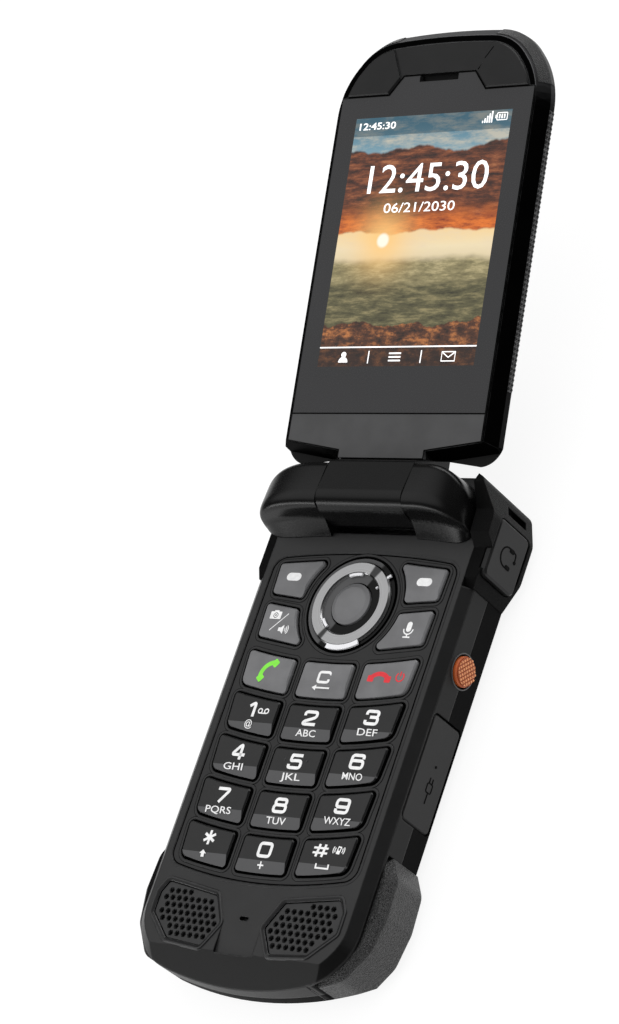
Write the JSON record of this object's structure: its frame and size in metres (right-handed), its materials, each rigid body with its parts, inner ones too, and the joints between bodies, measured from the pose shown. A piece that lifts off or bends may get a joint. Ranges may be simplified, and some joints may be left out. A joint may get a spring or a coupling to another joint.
{
  "type": "flip phone",
  "caption": "Rugged clamshell phone lying open: bowed keypad and navigation ring in the base, tall display in the hinged lid, rubber corners, port covers on the side.",
  "frame": {"origin": "centre of the flat back face of the base", "axes": "+Z from the back face up through the keypad, +Y from the chin to the hinge, +X to the right of the keypad"},
  "size_m": [0.0604, 0.1978, 0.0442],
  "materials": {
    "case_plastic": "matte black moulded plastic",
    "lid_plastic": "matte black moulded plastic",
    "panel_plastic": "dark grey moulded plastic",
    "lower_panel_plastic": "mid grey moulded plastic",
    "gloss_plastic": "semi gloss black",
    "grained_rubber": "black rubber with a leather grain",
    "dark_rubber": "matte black rubber",
    "orange_rubber": "orange, cross-cut",
    "number_key_black": "black keycap with white legend",
    "function_key_grey": "satin grey keycap",
    "brushed_ring": "brushed silver band in a black dish",
    "display_window": "clear over the display, grey border",
    "display_panel": "lit display",
    "outer_window_gloss": "dark tinted window",
    "lens_gloss": "black lens",
    "circuit_board": "green laminate",
    "battery_wrap": "grey wrap",
    "pin_steel": "steel",
    "socket_steel": "steel shell",
    "socket_plastic": "black",
    "dark_metal": "black mesh"
  },
  "bodies": {
    "base": {"front_case": "case_plastic", "rear_case": "case_plastic", "keypad_panel": "panel_plastic", "keypad_mat": "dark_rubber", "main_board": "circuit_board", "speaker_grille_left": "panel_plastic", "speaker_grille_right": "panel_plastic", "speakers": "dark_metal", "corner_bumper_left": "grained_rubber", "corner_bumper_right": "grained_rubber", "shoulder_bumper_left": "grained_rubber", "shoulder_bumper_right": "grained_rubber", "hinge_cover_left": "gloss_plastic", "hinge_cover_right": "gloss_plastic", "hinge_pin": "pin_steel", "battery": "battery_wrap", "usb_socket": "socket_steel", "headset_socket": "socket_plastic", "case_screws": "pin_steel"},
    "lid": {"lid_inner_case": "lid_plastic", "lid_outer_case": "lid_plastic", "display_glass": "display_window", "main_display": "display_panel", "lower_panel": "lower_panel_plastic", "earpiece": "dark_metal", "earpiece_cover": "panel_plastic", "lid_pad_left": "grained_rubber", "lid_pad_right": "grained_rubber", "outer_window": "outer_window_gloss", "camera_lens": "lens_gloss", "hinge_barrel": "gloss_plastic", "hinge_spring_unit": "pin_steel"},
    "key_1": {"key_1": "number_key_black"},
    "key_2": {"key_2": "number_key_black"},
    "key_3": {"key_3": "number_key_black"},
    "key_4": {"key_4": "number_key_black"},
    "key_5": {"key_5": "number_key_black"},
    "key_6": {"key_6": "number_key_black"},
    "key_7": {"key_7": "number_key_black"},
    "key_8": {"key_8": "number_key_black"},
    "key_9": {"key_9": "number_key_black"},
    "key_star": {"key_star": "number_key_black"},
    "key_0": {"key_0": "number_key_black"},
    "key_hash": {"key_hash": "number_key_black"},
    "soft_key_left": {"soft_key_left": "function_key_grey"},
    "soft_key_right": {"soft_key_right": "function_key_grey"},
    "camera_key": {"camera_key": "function_key_grey"},
    "microphone_key": {"microphone_key": "function_key_grey"},
    "send_key": {"send_key": "function_key_grey"},
    "clear_key": {"clear_key": "function_key_grey"},
    "end_key": {"end_key": "function_key_grey"},
    "ok_key": {"ok_key": "function_key_grey"},
    "nav_ring": {"nav_ring": "brushed_ring"},
    "side_button": {"side_button": "orange_rubber"},
    "volume_up_key": {"volume_up_key": "case_plastic"},
    "volume_down_key": {"volume_down_key": "case_plastic"},
    "usb_cover": {"usb_cover": "dark_rubber"},
    "headset_cover": {"headset_cover": "dark_rubber"},
    "battery_cover": {"battery_cover": "case_plastic"},
    "cover_lock": {"cover_lock": "case_plastic"}
  },
  "joints": [
    {"name": "lid_hinge", "type": "hinge", "parent": "base", "child": "lid", "pos_m": [0, 0.0488, 0.01745], "axis": [1, 0, 0], "range_deg": [0, 164.8]},
    {"name": "key_1_press", "type": "slide", "parent": "base", "child": "key_1", "axis": [0, 0, -1], "range_m": [0, 0.00035], "stiffness_N_per_m": 4000},
    {"name": "key_2_press", "type": "slide", "parent": "base", "child": "key_2", "axis": [0, 0, -1], "range_m": [0, 0.00035], "stiffness_N_per_m": 4000},
    {"name": "key_3_press", "type": "slide", "parent": "base", "child": "key_3", "axis": [0, 0, -1], "range_m": [0, 0.00035], "stiffness_N_per_m": 4000},
    {"name": "key_4_press", "type": "slide", "parent": "base", "child": "key_4", "axis": [0, 0, -1], "range_m": [0, 0.00035], "stiffness_N_per_m": 4000},
    {"name": "key_5_press", "type": "slide", "parent": "base", "child": "key_5", "axis": [0, 0, -1], "range_m": [0, 0.00035], "stiffness_N_per_m": 4000},
    {"name": "key_6_press", "type": "slide", "parent": "base", "child": "key_6", "axis": [0, 0, -1], "range_m": [0, 0.00035], "stiffness_N_per_m": 4000},
    {"name": "key_7_press", "type": "slide", "parent": "base", "child": "key_7", "axis": [0, 0, -1], "range_m": [0, 0.00035], "stiffness_N_per_m": 4000},
    {"name": "key_8_press", "type": "slide", "parent": "base", "child": "key_8", "axis": [0, 0, -1], "range_m": [0, 0.00035], "stiffness_N_per_m": 4000},
    {"name": "key_9_press", "type": "slide", "parent": "base", "child": "key_9", "axis": [0, 0, -1], "range_m": [0, 0.00035], "stiffness_N_per_m": 4000},
    {"name": "key_star_press", "type": "slide", "parent": "base", "child": "key_star", "axis": [0, 0, -1], "range_m": [0, 0.00035], "stiffness_N_per_m": 4000},
    {"name": "key_0_press", "type": "slide", "parent": "base", "child": "key_0", "axis": [0, 0, -1], "range_m": [0, 0.00035], "stiffness_N_per_m": 4000},
    {"name": "key_hash_press", "type": "slide", "parent": "base", "child": "key_hash", "axis": [0, 0, -1], "range_m": [0, 0.00035], "stiffness_N_per_m": 4000},
    {"name": "soft_key_left_press", "type": "slide", "parent": "base", "child": "soft_key_left", "axis": [0, 0, -1], "range_m": [0, 0.00035], "stiffness_N_per_m": 4000},
    {"name": "soft_key_right_press", "type": "slide", "parent": "base", "child": "soft_key_right", "axis": [0, 0, -1], "range_m": [0, 0.00035], "stiffness_N_per_m": 4000},
    {"name": "camera_key_press", "type": "slide", "parent": "base", "child": "camera_key", "axis": [0, 0, -1], "range_m": [0, 0.00035], "stiffness_N_per_m": 4000},
    {"name": "microphone_key_press", "type": "slide", "parent": "base", "child": "microphone_key", "axis": [0, 0, -1], "range_m": [0, 0.00035], "stiffness_N_per_m": 4000},
    {"name": "send_key_press", "type": "slide", "parent": "base", "child": "send_key", "axis": [0, 0, -1], "range_m": [0, 0.00035], "stiffness_N_per_m": 4000},
    {"name": "clear_key_press", "type": "slide", "parent": "base", "child": "clear_key", "axis": [0, 0, -1], "range_m": [0, 0.00035], "stiffness_N_per_m": 4000},
    {"name": "end_key_press", "type": "slide", "parent": "base", "child": "end_key", "axis": [0, 0, -1], "range_m": [0, 0.00035], "stiffness_N_per_m": 4000},
    {"name": "ok_key_press", "type": "slide", "parent": "base", "child": "ok_key", "axis": [0, 0, -1], "range_m": [0, 0.00035], "stiffness_N_per_m": 4000},
    {"name": "nav_ring_tilt", "type": "hinge", "parent": "base", "child": "nav_ring", "pos_m": [0, 0.0257, 0.01305], "axis": [1, 0, 0], "range_deg": [-1, 1], "stiffness_Nm_per_rad": 0.8},
    {"name": "side_button_press", "type": "slide", "parent": "base", "child": "side_button", "axis": [-1, 0, 0], "range_m": [0, 0.0005], "stiffness_N_per_m": 4000},
    {"name": "volume_up_press", "type": "slide", "parent": "base", "child": "volume_up_key", "axis": [1, 0, 0], "range_m": [0, 0.0005], "stiffness_N_per_m": 4000},
    {"name": "volume_down_press", "type": "slide", "parent": "base", "child": "volume_down_key", "axis": [1, 0, 0], "range_m": [0, 0.0005], "stiffness_N_per_m": 4000},
    {"name": "usb_cover_hinge", "type": "hinge", "parent": "base", "child": "usb_cover", "pos_m": [0.027, -0.017, 0.0076], "axis": [0, 0, -1], "range_deg": [0, 110]},
    {"name": "headset_cover_hinge", "type": "hinge", "parent": "base", "child": "headset_cover", "pos_m": [0.0294, 0.0462, 0.0091], "axis": [0, 0, 1], "range_deg": [0, 100]},
    {"name": "battery_cover_lift", "type": "slide", "parent": "base", "child": "battery_cover", "axis": [0, 0, -1], "range_m": [0, 0.012]},
    {"name": "cover_lock_turn", "type": "hinge", "parent": "battery_cover", "child": "cover_lock", "pos_m": [0, -0.0323, 0], "axis": [0, 0, 1], "range_deg": [0, 90]}
  ]
}
